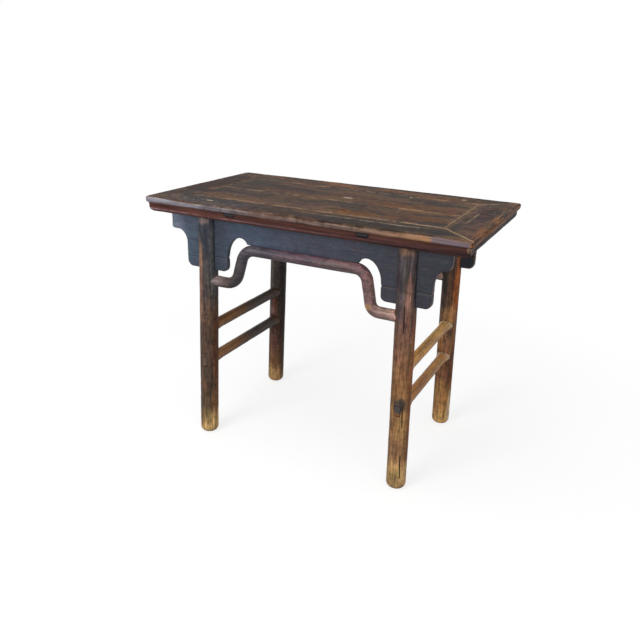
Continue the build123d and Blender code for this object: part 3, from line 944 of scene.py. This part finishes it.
def makeWearTree():
    # rubs edges softer, sinks shallow dents and furrows along the grain, and marks the worn edges
    plan, inputs = wearPlan, {}
    tree = bpy.data.node_groups.new("woodWear", "GeometryNodeTree")
    wanted = [
        ("Piece", "NodeSocketGeometry", None),
        ("Rounding", "NodeSocketFloat", 1.0),
        ("Dent Depth", "NodeSocketFloat", 0.0006),
        ("Dents Per Metre", "NodeSocketFloat", 18.0),
        ("Grain Depth", "NodeSocketFloat", 0.0003),
        ("Grain Stretch", "NodeSocketVector", (8, 90, 90)),
        ("Seed", "NodeSocketFloat", 0.0),
        ("Finish", "NodeSocketMaterial", None),
    ]
    for label, kind, value in wanted:
        item = tree.interface.new_socket(name=label, in_out="INPUT", socket_type=kind)
        if value is not None:
            item.default_value = value
        inputs[label] = item.identifier
    tree.interface.new_socket(name="Worn Piece", in_out="OUTPUT", socket_type="NodeSocketGeometry")
    wire = Wire(tree)
    given = wire.node("NodeGroupInput")
    seed = given.other("Seed")
    place = wire.node("GeometryNodeInputPosition")
    normal = wire.node("GeometryNodeInputNormal")
    blurred = wire.node("GeometryNodeBlurAttribute", {"data_type": "FLOAT_VECTOR"}, {
        0: place, 1: plan["edgeSteps"], 2: 1.0})
    away = wire.vector("SUBTRACT", place, blurred)
    proud = wire.vector("DOT_PRODUCT", away, normal, out=1).most(0)
    seedShift = wire.node("ShaderNodeCombineXYZ", {}, {
        axis: seed * step for axis, step in enumerate(plan["seedSteps"])})
    seeded = wire.vector("ADD", place, seedShift)
    chips = wire.node("ShaderNodeTexNoise", {}, {
        "Vector": seeded, "Scale": plan["chipsPerMetre"], "Detail": 3})
    dents = wire.node("ShaderNodeTexNoise", {}, {
        "Vector": seeded, "Scale": given.other("Dents Per Metre"), "Detail": 2})
    furrows = wire.node("ShaderNodeTexNoise", {}, {
        "Vector": wire.vector("MULTIPLY_ADD", place, given.other("Grain Stretch"), seedShift),
        "Scale": 1, "Detail": 3})
    sink = proud * given.other("Rounding") * (0.2 + chips.rise(0.3, 0.7) * 1.2)
    sink = sink + dents.rise(0.48, 0.78) * given.other("Dent Depth")
    sink = sink + furrows.rise(0.3, 0.7) * given.other("Grain Depth")
    stored = wire.node("GeometryNodeStoreNamedAttribute", {"data_type": "FLOAT", "domain": "POINT"}, {
        "Geometry": given.other("Piece"), "Name": "wornEdge", "Value": proud * plan["edgeScale"]})
    # how far each point faces up, which sets the painted light and shade on the humpback stretchers
    stored = wire.node("GeometryNodeStoreNamedAttribute", {"data_type": "FLOAT", "domain": "POINT"}, {
        "Geometry": stored, "Name": "upFace", "Value": normal.axis("Z")})
    moved = wire.node("GeometryNodeSetPosition", {}, {
        "Geometry": stored, "Offset": (sink * -1).dim(normal)})
    smooth = wire.node("GeometryNodeSetShadeSmooth", {}, {"Geometry": moved, "Shade Smooth": True})
    whole = wire.node("GeometryNodeRealizeInstances", {}, {"Geometry": smooth})
    dressed = wire.node("GeometryNodeSetMaterial", {}, {
        "Geometry": whole, "Material": given.other("Finish")})
    wire.node("NodeGroupOutput", {}, {0: dressed})
    return tree, inputs


wearTree, wearInputs = makeWearTree()


def wearPiece(node, name, finish, wear):
    # a fine, slightly worn skin over one CAD solid, kept inside it
    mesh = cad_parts[node].data.copy()
    mesh.materials.clear()
    if node.startswith("apron"):
        trimEar(mesh)
    rough = bpy.data.objects.new(name + "Rough", mesh)
    bpy.context.scene.collection.objects.link(rough)
    weld = rough.modifiers.new("weld", "WELD")
    weld.merge_threshold = 0.00001  # the CAD mesh comes as loose triangles
    remesh = rough.modifiers.new("remesh", "REMESH")
    remesh.mode = "VOXEL"
    remesh.voxel_size = wear["voxel"]
    worn = rough.modifiers.new("wear", "NODES")
    worn.node_group = wearTree
    for label in ("Rounding", "Dent Depth", "Dents Per Metre", "Grain Depth", "Grain Stretch", "Seed"):
        worn[wearInputs[label]] = wear[label]
    worn[wearInputs["Finish"]] = finish
    depsgraph = bpy.context.evaluated_depsgraph_get()
    plain = bpy.data.meshes.new_from_object(rough.evaluated_get(depsgraph))
    plain.name = name
    bpy.data.objects.remove(rough)
    piece = bpy.data.objects.new(name, plain)
    bpy.context.scene.collection.objects.link(piece)
    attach(piece, "root")
    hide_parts(node)


# how each kind of piece is roughened: skin size, edge wear, dents and grain furrows
wears = {
    "top": {"voxel": 0.003, "Rounding": 0.7, "Dent Depth": 0.0007,
            "Dents Per Metre": 16.0, "Grain Depth": 0.0004},
    "apron": {"voxel": 0.0025, "Rounding": 0.5, "Dent Depth": 0.0004,
              "Dents Per Metre": 20.0, "Grain Depth": 0.0002},
    "leg": {"voxel": 0.002, "Rounding": 0.6, "Dent Depth": 0.0006,
            "Dents Per Metre": 22.0, "Grain Depth": 0.0003},
    "hump": {"voxel": 0.002, "Rounding": 0.5, "Dent Depth": 0.0005,
             "Dents Per Metre": 22.0, "Grain Depth": 0.0002},
    "side": {"voxel": 0.002, "Rounding": 0.5, "Dent Depth": 0.0005,
             "Dents Per Metre": 22.0, "Grain Depth": 0.0003},
    "batten": {"voxel": 0.003, "Rounding": 0.4, "Dent Depth": 0.0004,
               "Dents Per Metre": 20.0, "Grain Depth": 0.0004},
}


def dress(node, finish, kind, stretch, seed):
    name = node.replace("_", " ").title().replace(" ", "")
    wear = {**wears[kind], "Seed": float(seed), "Grain Stretch": stretch}
    wearPiece(node, name, finish, wear)


# grain furrows a metre along each axis
grainX, grainY, grainZ = (6, 80, 80), (80, 6, 80), (90, 90, 6)

railFinish = topFinish("railWood", "x", topLook)
endFinish = topFinish("endWood", "y", dict(topLook, **endChanges))
dress("top_rail_front", railFinish, "top", grainX, 1)
dress("top_rail_back", railFinish, "top", grainX, 2)
dress("top_end_left", endFinish, "top", grainY, 3)
dress("top_end_right", endFinish, "top", grainY, 4)
dress("panel_board_front", railFinish, "top", grainX, 5)
dress("panel_board_back", railFinish, "top", grainX, 6)
print("top made")

lacquer = apronFinish("slateLacquer")
aprons = [name for name in sorted(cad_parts) if name.startswith(("apron", "spandrel"))]
for seed, node in enumerate(aprons, 10):
    dress(node, lacquer, "apron", (8, 60, 80), seed)
print("aprons made")

for node, leg in legs.items():
    dress(node, legFinish(node + "Wood", node, leg), "leg", grainZ, leg["seed"])
print("legs made")

humpWood = humpFinish("humpLacquer")
for node in ("humpback_stretcher_front", "humpback_stretcher_back"):
    dress(node, humpWood, "hump", (8, 80, 80), 31)
for node, rod in sideStretchers.items():
    rodWood = sideFinish(node + "Wood", node, rod)
    dress(node, rodWood, "side", grainY, rod["seed"])
battenWood = battenFinish("battenWood")
for node in ("batten_left", "batten_right"):
    dress(node, battenWood, "batten", grainY, 51)
print("stretchers and battens made")


# floor, light and view
studio = {
    "worldLight": 0.42,
    "lamps": {
        "leftLamp": {"power": 78.0, "size": 2.0, "place": (-0.9, -3.2, 1.6)},
        "rightLamp": {"power": 16.0, "size": 1.8, "place": (2.5, -2.2, 1.6)},
        "topLamp": {"power": 20.0, "size": 2.4, "place": (-0.5, -0.4, 3.4)},
    },
    "lampsAim": (0, 0, 0.5),
    "floorHalf": 9.0,
    "floorDrop": 0.0002,
    "floorTone": (0.32, 0.32, 0.32, 1),
    "floorGlow": 0.76,
    "fadeFrom": 0.75,
    "fadeTo": 1.7,
}


def seenWhite(wire, level):
    # plain white to the camera and in reflections, and the given level as light
    path = wire.node("ShaderNodeLightPath")
    seen = path.most(path.other("Is Glossy Ray")).most(path.other("Is Transmission Ray"))
    return seen * (1 - level) + level


def makeWorld():
    world = bpy.data.worlds.new("plainWorld")
    wire = emptyTree(world)
    glow = wire.node("ShaderNodeBackground", {}, {
        "Color": (1, 1, 1, 1), "Strength": seenWhite(wire, studio["worldLight"])})
    wire.node("ShaderNodeOutputWorld", {}, {"Surface": glow})
    bpy.context.scene.world = world


def makeFloor():
    half, drop = studio["floorHalf"], studio["floorDrop"]
    mesh = bpy.data.meshes.new("floor")
    corners = [(-half, -half, -drop), (half, -half, -drop), (half, half, -drop), (-half, half, -drop)]
    mesh.from_pydata(corners, [], [(0, 1, 2, 3)])
    floor = bpy.data.objects.new("floor", mesh)
    bpy.context.scene.collection.objects.link(floor)
    material = bpy.data.materials.new("floorWhite")
    wire = emptyTree(material)
    spot = wire.node("ShaderNodeTexCoord", out="Object")
    far = wire.vector("LENGTH", spot, out=1).rise(studio["fadeFrom"], studio["fadeTo"])
    shade = wire.node("ShaderNodeBsdfDiffuse", {}, {"Color": studio["floorTone"]})
    lift = wire.node("ShaderNodeEmission", {}, {"Strength": seenWhite(wire, 0) * studio["floorGlow"]})
    near = wire.node("ShaderNodeAddShader", {}, {0: shade, 1: lift})
    glow = wire.node("ShaderNodeEmission", {}, {"Strength": seenWhite(wire, studio["worldLight"])})
    shown = wire.node("ShaderNodeMixShader", {}, {0: far, 1: near, 2: glow})
    wire.node("ShaderNodeOutputMaterial", {}, {"Surface": shown})
    mesh.materials.append(material)


def makeLamp(name, wanted):
    data = bpy.data.lights.new(name, "AREA")
    data.shape = "DISK"
    data.size = wanted["size"]
    data.energy = wanted["power"]
    lamp = bpy.data.objects.new(name, data)
    lamp.location = wanted["place"]
    aim = Vector(studio["lampsAim"]) - Vector(wanted["place"])
    lamp.rotation_mode = "QUATERNION"
    lamp.rotation_quaternion = aim.to_track_quat("-Z", "Y")
    bpy.context.scene.collection.objects.link(lamp)


makeCamera()
makeWorld()
makeFloor()
for lampName, lampWanted in studio["lamps"].items():
    makeLamp(lampName, lampWanted)
bpy.context.scene.view_settings.view_transform = "Standard"
print("floor, light and camera set")
